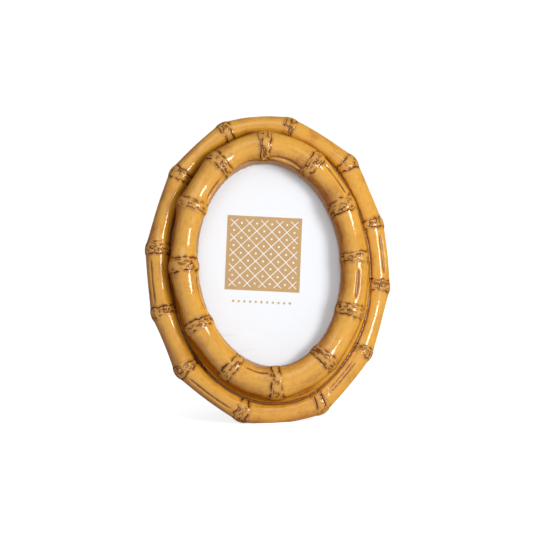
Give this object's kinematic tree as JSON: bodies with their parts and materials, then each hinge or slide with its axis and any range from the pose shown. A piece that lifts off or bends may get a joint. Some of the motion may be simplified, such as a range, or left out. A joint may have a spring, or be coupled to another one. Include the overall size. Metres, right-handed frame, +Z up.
{
  "type": "tabletop picture frame",
  "caption": "Oval picture frame cast as two stepped rings of glazed bamboo culms, with glass, turn buttons and a folding velvet easel leg.",
  "frame": {"origin": "centre of the bounding box at the ground, standing open on its leg", "axes": "+Z up, the picture faces -Y and leans back 13 degrees, +X to the viewer's right"},
  "size_m": [0.1034, 0.0558, 0.1274],
  "materials": {
    "cast_resin": "clear glazed, hand antiqued",
    "glass": "clear",
    "printed_card": "coated",
    "grey_board": "matte",
    "hardboard": "matte",
    "velvet": "short pile",
    "zinc_plated_steel": "satin",
    "blackened_steel": "satin"
  },
  "bodies": {
    "frame": {"moulding": "cast_resin", "glazing": "glass", "insert_card": "printed_card", "filler_board": "grey_board", "backboard": "hardboard", "back_velvet": "velvet", "turn_button_screws": "zinc_plated_steel", "hinge_back_leaf": "zinc_plated_steel", "hinge_pin": "zinc_plated_steel", "back_leaf_rivets": "zinc_plated_steel"},
    "leg": {"easel_leg": "hardboard", "easel_leg_velvet": "velvet", "hinge_leg_leaf": "zinc_plated_steel", "leg_leaf_rivets": "zinc_plated_steel"},
    "button_top_left": {"turn_button_top_left": "blackened_steel"},
    "button_top_right": {"turn_button_top_right": "blackened_steel"},
    "button_bottom_left": {"turn_button_bottom_left": "blackened_steel"},
    "button_bottom_right": {"turn_button_bottom_right": "blackened_steel"}
  },
  "joints": [
    {"name": "leg_hinge", "type": "hinge", "parent": "frame", "child": "leg", "pos_m": [0.00049, 0.0059, 0.08079], "axis": [-1, 0, 0], "range_deg": [0, 26.8]},
    {"name": "button_top_left_turn", "type": "hinge", "parent": "frame", "child": "button_top_left", "pos_m": [-0.0262, 0.00922, 0.09894], "axis": [0, 0.9744, -0.225], "continuous": true},
    {"name": "button_top_right_turn", "type": "hinge", "parent": "frame", "child": "button_top_right", "pos_m": [0.02718, 0.00922, 0.09894], "axis": [0, 0.9744, -0.225], "continuous": true},
    {"name": "button_bottom_left_turn", "type": "hinge", "parent": "frame", "child": "button_bottom_left", "pos_m": [-0.0262, -0.00694, 0.02894], "axis": [0, 0.9744, -0.225], "continuous": true},
    {"name": "button_bottom_right_turn", "type": "hinge", "parent": "frame", "child": "button_bottom_right", "pos_m": [0.02718, -0.00694, 0.02894], "axis": [0, 0.9744, -0.225], "continuous": true}
  ]
}
